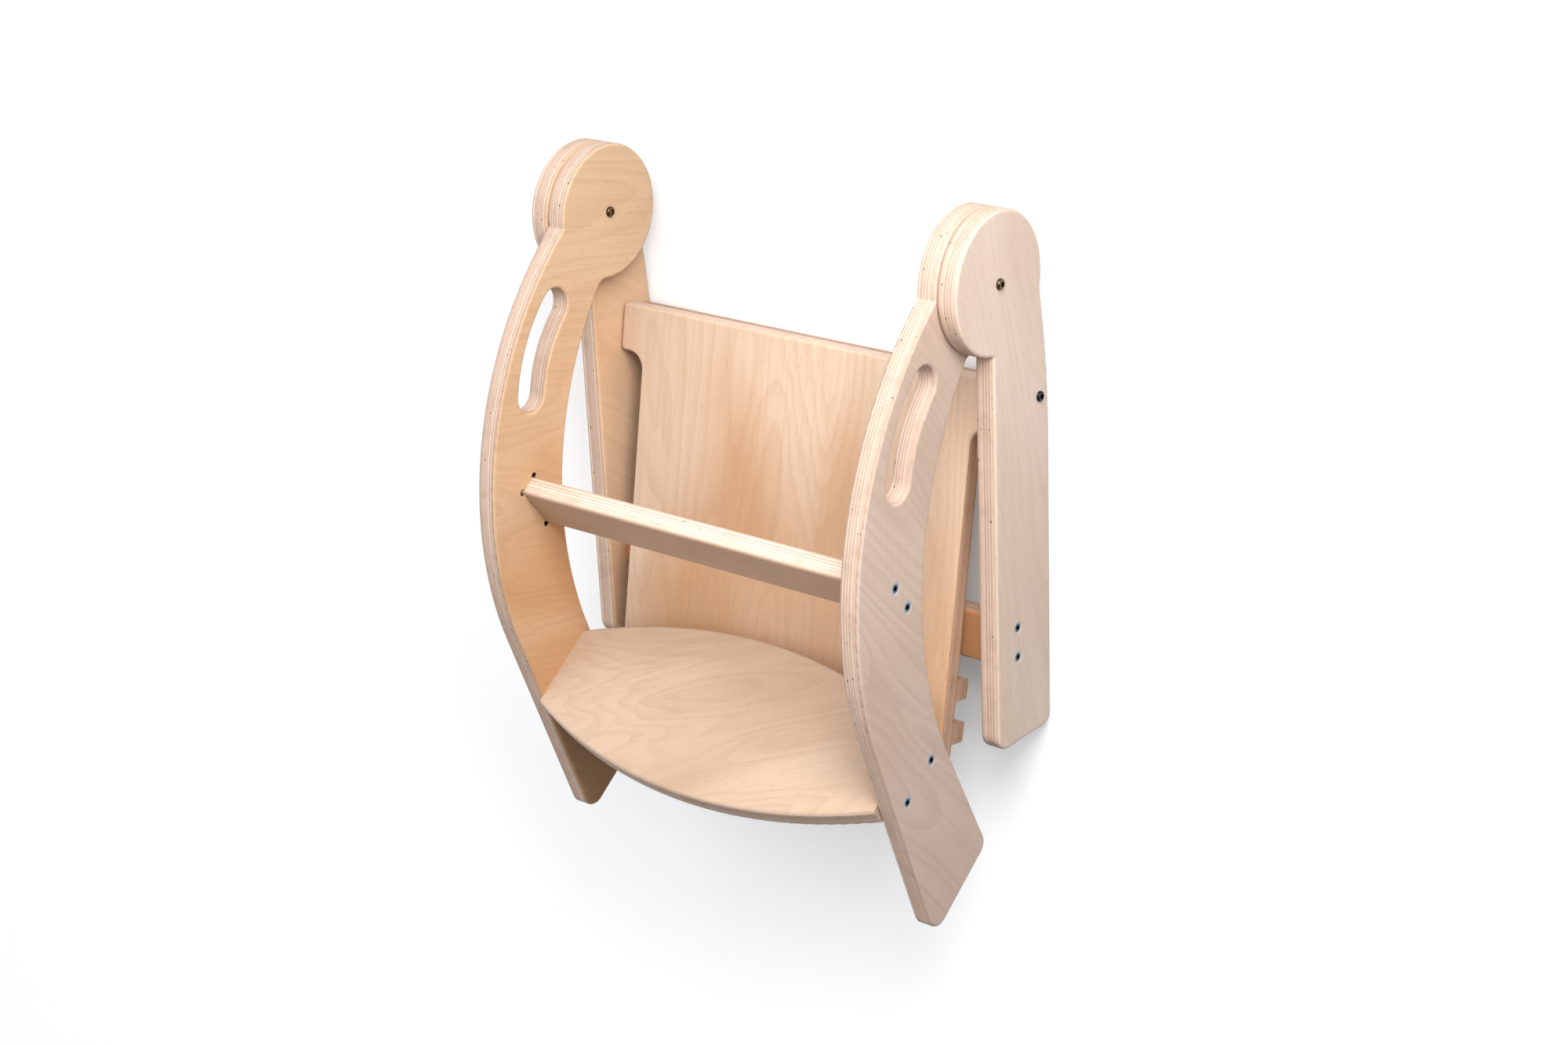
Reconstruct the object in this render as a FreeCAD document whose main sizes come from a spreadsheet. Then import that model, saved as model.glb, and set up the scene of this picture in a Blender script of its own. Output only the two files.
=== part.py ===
import FreeCAD, Part
import math
import os
import Sketcher

# A folding plywood rocking horse that opens into a child's step stool.
#
# Everything is drawn in the "in use" position: X to the right, Y to the back, Z up, with the
# origin on the head pivot axis, half way between the sides. The rear legs are upright, the
# rocker frame is swung forward and the seat panel lies flat on the slat. The three groups are
# then placed in the stored position: folded flat and lying on the straight back edges of the
# rear legs, with the floor at Z = 0.

DIMENSIONS = {
    # sheet material and overall size
    "ply": 18.0,
    "half_width": 218.2,
    "leg_gap": 0.8,
    "roundover": 3.0,
    "head_radius": 58.2,
    "floor_level": -400.0,
    # how far each group folds, in degrees
    "stand_angle": 35.3,
    "seat_fold_angle": 79.0,
    # the origin, under the middle of the stored object, measured from the head pivot
    "origin_to_pivot": 239.25,
    # rear leg
    "leg_front": -8.8,
    "leg_back": 68.2,
    "waist_radius": 750.0,
    "waist_level": -150.0,
    "waist_blend": 20.0,
    "throat_radius": 2.0,
    "leg_toe_radius": 15.0,
    "leg_heel_radius": 10.0,
    # rocker leg
    "rocker_front_y": -19.2,
    "rocker_front_z": -279.4,
    "rocker_front_radius": 313.6,
    "rocker_rear_y": 43.9,
    "rocker_rear_z": -338.3,
    "rocker_rear_radius": 313.7,
    "toe_y": -376.7,
    "heel_y": -284.0,
    "toe_radius": 13.0,
    "heel_radius": 12.0,
    "neck_radius": 12.0,
    # hand hole in the rocker leg: a slot along an arc
    "slot_centre_y": -76.3,
    "slot_centre_z": -137.1,
    "slot_path_radius": 130.0,
    "slot_half_width": 15.0,
    "slot_upper_angle": 99.4,
    "slot_lower_angle": 134.1,
    # slat and stretcher are the same strip
    "strip_height": 44.0,
    "slat_y": -221.0,
    "slat_top": -98.7,
    "slat_pocket_depth": 6.0,
    "pocket_clearance": 0.1,
    "relief_radius": 3.2,
    "slat_screw_spacing": 26.0,
    "stretcher_y": 20.4,
    "stretcher_z": -309.6,
    "stretcher_screw_spacing": 26.0,
    # platform
    "platform_y": -305.0,
    "platform_top": -257.4,
    "platform_end_half_depth": 39.0,
    "platform_mid_half_depth": 77.0,
    "platform_screw_y": -303.0,
    "platform_screw_spacing": 41.0,
    # seat panel and the battens under it
    "seat_pivot_y": 53.9,
    "seat_pivot_z": -107.4,
    "rail_size": 18.0,
    "seat_side_gap": 1.0,
    "seat_rear_overhang": 11.0,
    "ear_length": 31.0,
    "ear_fillet": 15.0,
    "seat_reach": 313.0,
    "seat_half_width": 174.5,
    "seat_corner_radius": 4.0,
    "cleat_width": 18.0,
    "cleat_gap": 19.4,
    "cleat_half_length": 172.0,
    "cleat_chamfer": 2.0,
    "cleat_screw_x": 120.0,
    # countersunk wood screws with a hex socket
    "screw_head_radius": 5.0,
    "screw_head_height": 2.6,
    "screw_shank_radius": 2.8,
    "screw_length": 48.0,
    "short_screw_length": 30.0,
    "screw_tip": 5.0,
    "screw_sink": 0.3,
    "screw_play": 0.05,
    "countersink_angle": 80.0,
    "hex_radius": 2.3,
    "hex_depth": 2.4,
    # head pivot: sleeve nut from inside, bolt from outside
    "sleeve_radius": 4.0,
    "sleeve_bore_radius": 3.05,
    "head_bolt_radius": 3.0,
    "head_bolt_reach": 26.0,
    "sleeve_setback": 1.0,
    "running_play": 0.05,
    "eye_radius": 4.6,
    "eye_height": 2.6,
    "eye_dome": 1.8,
    "face_play": 0.3,
    "head_washer_radius": 14.0,
    # seat pivot: button-headed bolt into a threaded insert
    "seat_bolt_radius": 3.0,
    "seat_bolt_head_radius": 4.4,
    "seat_bolt_head_height": 2.2,
    "seat_bolt_dome": 1.4,
    "seat_bolt_reach": 14.0,
    "insert_radius": 5.0,
    "insert_length": 15.0,
    "seat_washer_radius": 8.0,
}

document = FreeCAD.newDocument("rocking_horse")
sheet = document.addObject("Spreadsheet::Sheet", "dims")
for row, (alias, number) in enumerate(DIMENSIONS.items(), start=1):
    sheet.set(f"A{row}", alias)
    sheet.set(f"B{row}", str(number))
    sheet.setAlias(f"B{row}", alias)
document.recompute()


def size(alias):
    """The number in the sheet's cell with this alias."""
    return float(getattr(sheet, alias))


def bind(item, **expressions):
    """Bind properties of a document object to expressions over the sheet."""
    for name, expression in expressions.items():
        item.setExpression(name, expression)


# ---------------------------------------------------------------- sketch helpers

SIDE_PLANE = "YZ_Plane"
LEVEL_PLANE = "XY_Plane"
ORIGIN_POINT = (-1, 1)
START, END, CENTRE = 1, 2, 3


def new_body(label):
    body = document.addObject("PartDesign::Body", label)
    body.Label = label
    return body


def new_sketch(body, name, plane=SIDE_PLANE, offset="0"):
    """An empty sketch on one of the body's origin planes, moved along the plane's normal."""
    sketch = body.newObject("Sketcher::SketchObject", f"{body.Name}_{name}")
    support = next(item for item in body.Origin.OriginFeatures if item.Role == plane)
    sketch.AttachmentSupport = [(support, "")]
    sketch.MapMode = "FlatFace"
    sketch.setExpression(".AttachmentOffset.Base.z", offset)
    return sketch


def line(sketch, start, end):
    return sketch.addGeometry(Part.LineSegment(FreeCAD.Vector(*start, 0), FreeCAD.Vector(*end, 0)))


def arc(sketch, centre, radius, start, end):
    """An arc drawn anticlockwise from start to end; both lie near the circle."""
    circle = Part.Circle(FreeCAD.Vector(*centre, 0), FreeCAD.Vector(0, 0, 1), radius)
    angles = [math.atan2(point[1] - centre[1], point[0] - centre[0]) for point in (start, end)]
    return sketch.addGeometry(Part.ArcOfCircle(circle, *angles))


def join(sketch, first, first_end, second, second_end):
    sketch.addConstraint(Sketcher.Constraint("Coincident", first, first_end, second, second_end))


def tangent(sketch, first, first_end, second, second_end):
    sketch.addConstraint(Sketcher.Constraint("Tangent", first, first_end, second, second_end))


def fix_radius(sketch, curve, radius, expression):
    index = sketch.addConstraint(Sketcher.Constraint("Radius", curve, radius))
    sketch.setExpression(f"Constraints[{index}]", expression)


def fix_x(sketch, curve, point, value, expression):
    index = sketch.addConstraint(Sketcher.Constraint("DistanceX", *ORIGIN_POINT, curve, point, value))
    sketch.setExpression(f"Constraints[{index}]", expression)


def fix_y(sketch, curve, point, value, expression):
    index = sketch.addConstraint(Sketcher.Constraint("DistanceY", *ORIGIN_POINT, curve, point, value))
    sketch.setExpression(f"Constraints[{index}]", expression)


def circle(sketch, centre, centre_expressions, radius, radius_expression):
    curve = sketch.addGeometry(
        Part.Circle(FreeCAD.Vector(*centre, 0), FreeCAD.Vector(0, 0, 1), radius))
    fix_radius(sketch, curve, radius, radius_expression)
    fix_x(sketch, curve, CENTRE, centre[0], centre_expressions[0])
    fix_y(sketch, curve, CENTRE, centre[1], centre_expressions[1])


def rectangle(sketch, low, high, low_expressions, high_expressions):
    corners = [(low[0], low[1]), (high[0], low[1]), (high[0], high[1]), (low[0], high[1])]
    sides = [line(sketch, corners[i], corners[(i + 1) % 4]) for i in range(4)]
    for i in range(4):
        join(sketch, sides[i], END, sides[(i + 1) % 4], START)
    for side, direction in zip(sides, ("Horizontal", "Vertical", "Horizontal", "Vertical")):
        sketch.addConstraint(Sketcher.Constraint(direction, side))
    fix_x(sketch, sides[0], START, low[0], low_expressions[0])
    fix_y(sketch, sides[0], START, low[1], low_expressions[1])
    fix_x(sketch, sides[1], END, high[0], high_expressions[0])
    fix_y(sketch, sides[1], END, high[1], high_expressions[1])


def circle_meet(centre_a, radius_a, centre_b, radius_b, side):
    """Where two circles cross; side picks the crossing left (1) or right (-1) of a to b."""
    across = (centre_b[0] - centre_a[0], centre_b[1] - centre_a[1])
    distance = math.hypot(*across)
    unit = (across[0] / distance, across[1] / distance)
    along = (distance ** 2 + radius_a ** 2 - radius_b ** 2) / (2 * distance)
    aside = side * math.sqrt(radius_a ** 2 - along ** 2)
    return (centre_a[0] + along * unit[0] - aside * unit[1],
            centre_a[1] + along * unit[1] + aside * unit[0])


# ---------------------------------------------------------------- feature helpers

def pad_both_ways(body, sketch, length_expression):
    pad = body.newObject("PartDesign::Pad", f"{body.Name}_pad")
    pad.Profile = sketch
    pad.SideType = "Symmetric"
    bind(pad, Length=length_expression)
    document.recompute()
    return pad


def pocket(body, name, sketch, depth_expression, towards_plus):
    """A pocket of one depth, cut along the sketch's normal or against it."""
    cut = body.newObject("PartDesign::Pocket", f"{body.Name}_{name}")
    cut.Profile = sketch
    cut.Reversed = towards_plus
    bind(cut, Length=depth_expression)
    document.recompute()
    check_removed(cut)
    return cut


def pocket_through(body, name, sketch):
    cut = body.newObject("PartDesign::Pocket", f"{body.Name}_{name}")
    cut.Profile = sketch
    cut.SideType = "Symmetric"
    cut.Length = 2000
    document.recompute()
    check_removed(cut)
    return cut


def check_removed(cut):
    """Stop if a pocket or hole took no material away."""
    if not cut.Shape.Volume < cut.BaseFeature.Shape.Volume - 1e-6:
        raise RuntimeError(f"{cut.Name} cut nothing")


def screw_holes(body, name, sketch, towards_plus):
    """Countersunk clearance holes through a leg for the wood screws."""
    hole = body.newObject("PartDesign::Hole", f"{body.Name}_{name}")
    document.recompute()
    hole.Profile = sketch
    hole.Reversed = towards_plus
    hole.DepthType = "ThroughAll"
    hole.Threaded = False
    hole.HoleCutType = "Countersink"
    hole.HoleCutCustomValues = True
    document.recompute()
    bind(hole, Diameter="2 * (dims.screw_shank_radius + dims.screw_play)",
         HoleCutDiameter="2 * (dims.screw_head_radius + dims.screw_sink + dims.screw_play)",
         HoleCutCountersinkAngle="dims.countersink_angle")
    document.recompute()
    check_removed(hole)
    return hole


def fillet_edges(body, name, base, edges, radius_expression):
    fillet = body.newObject("PartDesign::Fillet", f"{body.Name}_{name}")
    fillet.Base = (base, edges)
    bind(fillet, Radius=radius_expression)
    document.recompute()
    return fillet


def edges_where(feature, test):
    """The names of the feature's edges whose two ends and middle all pass the test."""
    names = []
    for number, edge in enumerate(feature.Shape.Edges, start=1):
        middle = edge.valueAt((edge.FirstParameter + edge.LastParameter) / 2)
        points = [vertex.Point for vertex in edge.Vertexes] + [middle]
        if all(test(point) for point in points):
            names.append(f"Edge{number}")
    return names


def near(value, target, tolerance=0.01):
    return abs(value - target) < tolerance


def upright_edges_at(feature, y, z, reach=1.5):
    """Edges that run across the ply at one corner of a side-plane outline."""
    return edges_where(feature, lambda p: math.hypot(p.y - y, p.z - z) < reach)


def face_edges(feature):
    """Edges that lie on either broad face of a leg."""
    half = size("ply") / 2
    return edges_where(feature, lambda p: near(abs(p.x), half))


# ---------------------------------------------------------------- rear frame

SIDES = {"left": -1, "right": 1}
ORIGIN = (0.0, 0.0)
HALF_PLY = "dims.ply / 2"


def face_offset(side, outer):
    """Offset, as an expression, of a leg's outer or inner face from its own middle plane."""
    return HALF_PLY if (side > 0) == outer else f"-{HALF_PLY}"


def rear_leg(label, side):
    """An upright leg with a round head; its straight back edge is what the object lies on."""
    body = new_body(label)
    front, back, floor = size("leg_front"), size("leg_back"), size("floor_level")
    head_radius, waist_radius = size("head_radius"), size("waist_radius")
    waist_centre = (back - waist_radius, size("waist_level"))
    throat = (front, -math.sqrt(head_radius ** 2 - front ** 2))
    waist = circle_meet(ORIGIN, head_radius, waist_centre, waist_radius, 1)
    waist_low = (back, size("waist_level"))

    outline = new_sketch(body, "outline")
    head = arc(outline, ORIGIN, head_radius, waist, throat)
    front_edge = line(outline, throat, (front, floor))
    foot = line(outline, (front, floor), (back, floor))
    back_edge = line(outline, (back, floor), waist_low)
    waist_edge = arc(outline, waist_centre, waist_radius, waist_low, waist)
    join(outline, head, END, front_edge, START)
    join(outline, front_edge, END, foot, START)
    join(outline, foot, END, back_edge, START)
    tangent(outline, back_edge, END, waist_edge, START)
    join(outline, waist_edge, END, head, START)
    outline.addConstraint(Sketcher.Constraint("Coincident", head, CENTRE, *ORIGIN_POINT))
    outline.addConstraint(Sketcher.Constraint("Vertical", front_edge))
    outline.addConstraint(Sketcher.Constraint("Horizontal", foot))
    outline.addConstraint(Sketcher.Constraint("Vertical", back_edge))
    fix_radius(outline, head, head_radius, "dims.head_radius")
    fix_radius(outline, waist_edge, waist_radius, "dims.waist_radius")
    fix_x(outline, foot, START, front, "dims.leg_front")
    fix_y(outline, foot, START, floor, "dims.floor_level")
    fix_x(outline, foot, END, back, "dims.leg_back")
    fix_y(outline, waist_edge, START, waist_low[1], "dims.waist_level")

    blank = pad_both_ways(body, outline, "dims.ply")
    toe = fillet_edges(body, "toe", blank, upright_edges_at(blank, front, floor), "dims.leg_toe_radius")
    heel = fillet_edges(body, "heel", toe, upright_edges_at(toe, back, floor), "dims.leg_heel_radius")
    blend = fillet_edges(body, "waist", heel, upright_edges_at(heel, *waist), "dims.waist_blend")
    notch = fillet_edges(body, "throat", blend, upright_edges_at(blend, *throat), "dims.throat_radius")
    fillet_edges(body, "roundover", notch, face_edges(notch), "dims.roundover")

    bores = new_sketch(body, "bores")
    sleeve_radius = size("sleeve_radius") + size("running_play")
    circle(bores, ORIGIN, ("0", "0"), sleeve_radius, "dims.sleeve_radius + dims.running_play")
    pivot = (size("seat_pivot_y"), size("seat_pivot_z"))
    bolt_radius = size("seat_bolt_radius") + size("running_play")
    circle(bores, pivot, ("dims.seat_pivot_y", "dims.seat_pivot_z"),
           bolt_radius, "dims.seat_bolt_radius + dims.running_play")
    pocket_through(body, "bore", bores)

    screws = new_sketch(body, "screws", offset=face_offset(side, outer=True))
    for centre, expressions in STRETCHER_SCREWS:
        circle(screws, centre, expressions, size("screw_shank_radius"), "dims.screw_shank_radius")
    screw_holes(body, "screw_hole", screws, towards_plus=side < 0)
    bind(body, **{".Placement.Base.x": f"{side} * (dims.half_width - {HALF_PLY})"})
    return body


def strip(label, centre, centre_expressions, half_length_expression, pilot_depth, end_holes):
    """A cross member of the standard strip, with its long edges rounded and screwed at both ends."""
    body = new_body(label)
    half_ply, half_height = size("ply") / 2, size("strip_height") / 2
    y_expression, z_expression = centre_expressions
    section = new_sketch(body, "section")
    rectangle(section,
              (centre[0] - half_ply, centre[1] - half_height),
              (centre[0] + half_ply, centre[1] + half_height),
              (f"{y_expression} - {HALF_PLY}", f"{z_expression} - dims.strip_height / 2"),
              (f"{y_expression} + {HALF_PLY}", f"{z_expression} + dims.strip_height / 2"))
    bar = pad_both_ways(body, section, f"2 * ({half_length_expression})")
    long_edges = edges_where(
        bar, lambda p: near(abs(p.y - centre[0]), half_ply) and near(abs(p.z - centre[1]), half_height))
    fillet_edges(body, "roundover", bar, long_edges, "dims.roundover")
    end_pilot_holes(body, half_length_expression, pilot_depth, end_holes)
    return body


def end_pilot_holes(body, half_length_expression, depth_expression, centres):
    """Pilot holes for the long screws in both ends of a cross member."""
    for end, sign in (("left", "-"), ("right", "")):
        holes = new_sketch(body, f"pilots_{end}", offset=f"{sign}({half_length_expression})")
        for centre, expressions in centres:
            circle(holes, centre, expressions,
                   size("screw_shank_radius") + size("screw_play"),
                   "dims.screw_shank_radius + dims.screw_play")
        pocket(body, f"pilot_{end}", holes, depth_expression, towards_plus=end == "left")


def pair(centre, expressions, axis, spacing_alias):
    """Two points either side of a centre, along y (0) or z (1), with their expressions."""
    points = []
    for way in (-1, 1):
        point, texts = list(centre), list(expressions)
        point[axis] += way * size(spacing_alias) / 2
        texts[axis] += f" + {way} * dims.{spacing_alias} / 2"
        points.append((tuple(point), tuple(texts)))
    return points


STRETCHER_CENTRE = (size("stretcher_y"), size("stretcher_z"))
STRETCHER_TEXTS = ("dims.stretcher_y", "dims.stretcher_z")
STRETCHER_SCREWS = pair(STRETCHER_CENTRE, STRETCHER_TEXTS, 1, "stretcher_screw_spacing")
REAR_INNER_FACE = "dims.half_width - dims.ply"
PILOT_DEPTH = "dims.screw_length - dims.ply + 2 * dims.screw_sink"

# ---------------------------------------------------------------- rocker frame

SLAT_CENTRE = (size("slat_y"), size("slat_top") - size("strip_height") / 2)
SLAT_TEXTS = ("dims.slat_y", "dims.slat_top - dims.strip_height / 2")
SLAT_SCREWS = pair(SLAT_CENTRE, SLAT_TEXTS, 1, "slat_screw_spacing")
PLATFORM_SCREW_CENTRE = (size("platform_screw_y"), size("platform_top") - size("ply") / 2)
PLATFORM_SCREW_TEXTS = ("dims.platform_screw_y", f"dims.platform_top - {HALF_PLY}")
PLATFORM_SCREWS = pair(PLATFORM_SCREW_CENTRE, PLATFORM_SCREW_TEXTS, 0, "platform_screw_spacing")
ROCKER_INNER_FACE = "dims.half_width - 2 * dims.ply - dims.leg_gap"


def rocker_outline(body):
    """Round head, curved front and rear edges that run straight near the foot, and a flat foot."""
    floor, head_radius = size("floor_level"), size("head_radius")
    front_centre = (size("rocker_front_y"), size("rocker_front_z"))
    front_radius = size("rocker_front_radius")
    rear_centre = (size("rocker_rear_y"), size("rocker_rear_z"))
    rear_radius = size("rocker_rear_radius")
    toe, heel = (size("toe_y"), floor), (size("heel_y"), floor)
    brow = circle_meet(ORIGIN, head_radius, front_centre, front_radius, -1)
    throat = circle_meet(ORIGIN, head_radius, rear_centre, rear_radius, -1)
    front_low = tangent_point(toe, front_centre, front_radius)
    rear_low = tangent_point(heel, rear_centre, rear_radius)

    outline = new_sketch(body, "outline")
    head = arc(outline, ORIGIN, head_radius, throat, brow)
    front_arc = arc(outline, front_centre, front_radius, brow, front_low)
    front_line = line(outline, front_low, toe)
    foot = line(outline, toe, heel)
    rear_line = line(outline, heel, rear_low)
    rear_arc = arc(outline, rear_centre, rear_radius, throat, rear_low)
    join(outline, head, END, front_arc, START)
    tangent(outline, front_arc, END, front_line, START)
    join(outline, front_line, END, foot, START)
    join(outline, foot, END, rear_line, START)
    tangent(outline, rear_line, END, rear_arc, END)
    join(outline, rear_arc, START, head, START)
    outline.addConstraint(Sketcher.Constraint("Coincident", head, CENTRE, *ORIGIN_POINT))
    outline.addConstraint(Sketcher.Constraint("Horizontal", foot))
    fix_radius(outline, head, head_radius, "dims.head_radius")
    for curve, centre, radius, name in (
            (front_arc, front_centre, front_radius, "rocker_front"),
            (rear_arc, rear_centre, rear_radius, "rocker_rear")):
        fix_radius(outline, curve, radius, f"dims.{name}_radius")
        fix_x(outline, curve, CENTRE, centre[0], f"dims.{name}_y")
        fix_y(outline, curve, CENTRE, centre[1], f"dims.{name}_z")
    fix_x(outline, foot, START, toe[0], "dims.toe_y")
    fix_y(outline, foot, START, floor, "dims.floor_level")
    fix_x(outline, foot, END, heel[0], "dims.heel_y")
    return outline, throat, toe, heel


def tangent_point(point, centre, radius):
    """Where a line from a point below touches the left side of a circle."""
    across = (point[0] - centre[0], point[1] - centre[1])
    distance = math.hypot(*across)
    angle = math.atan2(across[1], across[0]) - math.acos(radius / distance)
    return (centre[0] + radius * math.cos(angle), centre[1] + radius * math.sin(angle))


def slot_outline(body):
    """A hand hole of constant width along an arc, with round ends."""
    centre = (size("slot_centre_y"), size("slot_centre_z"))
    path_radius, half_width = size("slot_path_radius"), size("slot_half_width")

    def on_arc(radius, degrees):
        angle = math.radians(degrees)
        return (centre[0] + radius * math.cos(angle), centre[1] + radius * math.sin(angle))

    upper, lower = size("slot_upper_angle"), size("slot_lower_angle")
    outer, inner = path_radius + half_width, path_radius - half_width
    sketch = new_sketch(body, "slot")
    outer_arc = arc(sketch, centre, outer, on_arc(outer, upper), on_arc(outer, lower))
    inner_arc = arc(sketch, centre, inner, on_arc(inner, upper), on_arc(inner, lower))
    upper_cap = arc(sketch, on_arc(path_radius, upper), half_width,
                    on_arc(inner, upper), on_arc(outer, upper))
    lower_cap = arc(sketch, on_arc(path_radius, lower), half_width,
                    on_arc(outer, lower), on_arc(inner, lower))
    tangent(sketch, upper_cap, END, outer_arc, START)
    tangent(sketch, outer_arc, END, lower_cap, START)
    tangent(sketch, lower_cap, END, inner_arc, END)
    tangent(sketch, inner_arc, START, upper_cap, START)
    fix_radius(sketch, outer_arc, outer, "dims.slot_path_radius + dims.slot_half_width")
    fix_x(sketch, outer_arc, CENTRE, centre[0], "dims.slot_centre_y")
    fix_y(sketch, outer_arc, CENTRE, centre[1], "dims.slot_centre_z")
    for cap, alias in ((upper_cap, "slot_upper_angle"), (lower_cap, "slot_lower_angle")):
        middle = on_arc(path_radius, size(alias))
        fix_x(sketch, cap, CENTRE, middle[0],
              f"dims.slot_centre_y + dims.slot_path_radius * cos(dims.{alias})")
        fix_y(sketch, cap, CENTRE, middle[1],
              f"dims.slot_centre_z + dims.slot_path_radius * sin(dims.{alias})")
    return sketch


def rocker_leg(label, side):
    """A curved leg: its front edge is the runner, and the slat sits in a pocket in its inner face."""
    body = new_body(label)
    outline, throat, toe, heel = rocker_outline(body)
    blank = pad_both_ways(body, outline, "dims.ply")
    slotted = pocket_through(body, "hand_hole", slot_outline(body))
    neck = fillet_edges(body, "neck", slotted, upright_edges_at(slotted, *throat), "dims.neck_radius")
    toed = fillet_edges(body, "toe", neck, upright_edges_at(neck, *toe), "dims.toe_radius")
    heeled = fillet_edges(body, "heel", toed, upright_edges_at(toed, *heel), "dims.heel_radius")
    fillet_edges(body, "roundover", heeled, face_edges(heeled), "dims.roundover")

    bore = new_sketch(body, "bore_circle")
    circle(bore, ORIGIN, ("0", "0"), size("sleeve_radius") + size("running_play"),
           "dims.sleeve_radius + dims.running_play")
    pocket_through(body, "bore", bore)

    inner = face_offset(side, outer=False)
    seat = new_sketch(body, "slat_seat", offset=inner)
    play = size("pocket_clearance")
    half_y, half_z = size("ply") / 2 + play, size("strip_height") / 2 + play
    half_y_text = f"({HALF_PLY} + dims.pocket_clearance)"
    half_z_text = "(dims.strip_height / 2 + dims.pocket_clearance)"
    rectangle(seat,
              (SLAT_CENTRE[0] - half_y, SLAT_CENTRE[1] - half_z),
              (SLAT_CENTRE[0] + half_y, SLAT_CENTRE[1] + half_z),
              (f"{SLAT_TEXTS[0]} - {half_y_text}", f"{SLAT_TEXTS[1]} - {half_z_text}"),
              (f"{SLAT_TEXTS[0]} + {half_y_text}", f"{SLAT_TEXTS[1]} + {half_z_text}"))
    pocket(body, "slat_pocket", seat, "dims.slat_pocket_depth", towards_plus=side > 0)
    for corner, (way_y, way_z) in enumerate(((-1, -1), (1, -1), (1, 1), (-1, 1)), start=1):
        relief = new_sketch(body, f"relief_{corner}", offset=inner)
        circle(relief, (SLAT_CENTRE[0] + way_y * half_y, SLAT_CENTRE[1] + way_z * half_z),
               (f"{SLAT_TEXTS[0]} + {way_y} * {half_y_text}",
                f"{SLAT_TEXTS[1]} + {way_z} * {half_z_text}"),
               size("relief_radius"), "dims.relief_radius")
        pocket(body, f"relief_cut_{corner}", relief, "dims.slat_pocket_depth", towards_plus=side > 0)

    screws = new_sketch(body, "screws", offset=face_offset(side, outer=True))
    for centre, expressions in SLAT_SCREWS + PLATFORM_SCREWS:
        circle(screws, centre, expressions, size("screw_shank_radius"), "dims.screw_shank_radius")
    screw_holes(body, "screw_hole", screws, towards_plus=side < 0)
    bind(body, **{".Placement.Base.x":
                  f"{side} * (dims.half_width - 3 * {HALF_PLY} - dims.leg_gap)"})
    return body


def platform(label):
    """The foot board: straight ends between the rocker legs, bowed front and rear edges."""
    body = new_body(label)
    half_length = size("half_width") - 2 * size("ply") - size("leg_gap")
    middle, end_depth = size("platform_y"), size("platform_end_half_depth")
    bulge = size("platform_mid_half_depth") - end_depth
    radius = (half_length ** 2 + bulge ** 2) / (2 * bulge)
    to_centre = radius - bulge - end_depth

    outline = new_sketch(body, "outline", LEVEL_PLANE, f"dims.platform_top - {HALF_PLY}")
    left, right = -half_length, half_length
    front, rear = middle - end_depth, middle + end_depth
    front_arc = arc(outline, (0, middle + to_centre), radius, (left, front), (right, front))
    right_end = line(outline, (right, front), (right, rear))
    rear_arc = arc(outline, (0, middle - to_centre), radius, (right, rear), (left, rear))
    left_end = line(outline, (left, rear), (left, front))
    edges = (front_arc, right_end, rear_arc, left_end)
    for i in range(4):
        join(outline, edges[i], END, edges[(i + 1) % 4], START)
    middle_text, depth_text = "dims.platform_y", "dims.platform_end_half_depth"
    fix_x(outline, right_end, START, right, ROCKER_INNER_FACE)
    fix_y(outline, right_end, START, front, f"{middle_text} - {depth_text}")
    fix_x(outline, right_end, END, right, ROCKER_INNER_FACE)
    fix_y(outline, right_end, END, rear, f"{middle_text} + {depth_text}")
    fix_x(outline, left_end, START, left, f"-({ROCKER_INNER_FACE})")
    fix_y(outline, left_end, START, rear, f"{middle_text} + {depth_text}")
    fix_x(outline, left_end, END, left, f"-({ROCKER_INNER_FACE})")
    fix_y(outline, left_end, END, front, f"{middle_text} - {depth_text}")
    bulge_text = "(dims.platform_mid_half_depth - dims.platform_end_half_depth)"
    radius_text = f"(({ROCKER_INNER_FACE}) ^ 2 + {bulge_text} ^ 2) / (2 * {bulge_text})"
    fix_radius(outline, front_arc, radius, radius_text)
    fix_radius(outline, rear_arc, radius, radius_text)

    board = pad_both_ways(body, outline, "dims.ply")
    top, bottom = size("platform_top"), size("platform_top") - size("ply")
    bowed = edges_where(board, lambda p: abs(p.y - middle) > end_depth - 0.01
                        and (near(p.z, top) or near(p.z, bottom)))
    fillet_edges(body, "roundover", board, bowed, "dims.roundover")
    end_pilot_holes(body, ROCKER_INNER_FACE, PILOT_DEPTH, PLATFORM_SCREWS)
    return body


# ---------------------------------------------------------------- seat group

EAR_HALF_WIDTH = "dims.half_width - dims.ply - dims.seat_side_gap"
SEAT_UNDERSIDE = "dims.seat_pivot_z + dims.rail_size / 2"
BATTEN_SCREW_WAYS = (-1, 0, 1)


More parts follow.
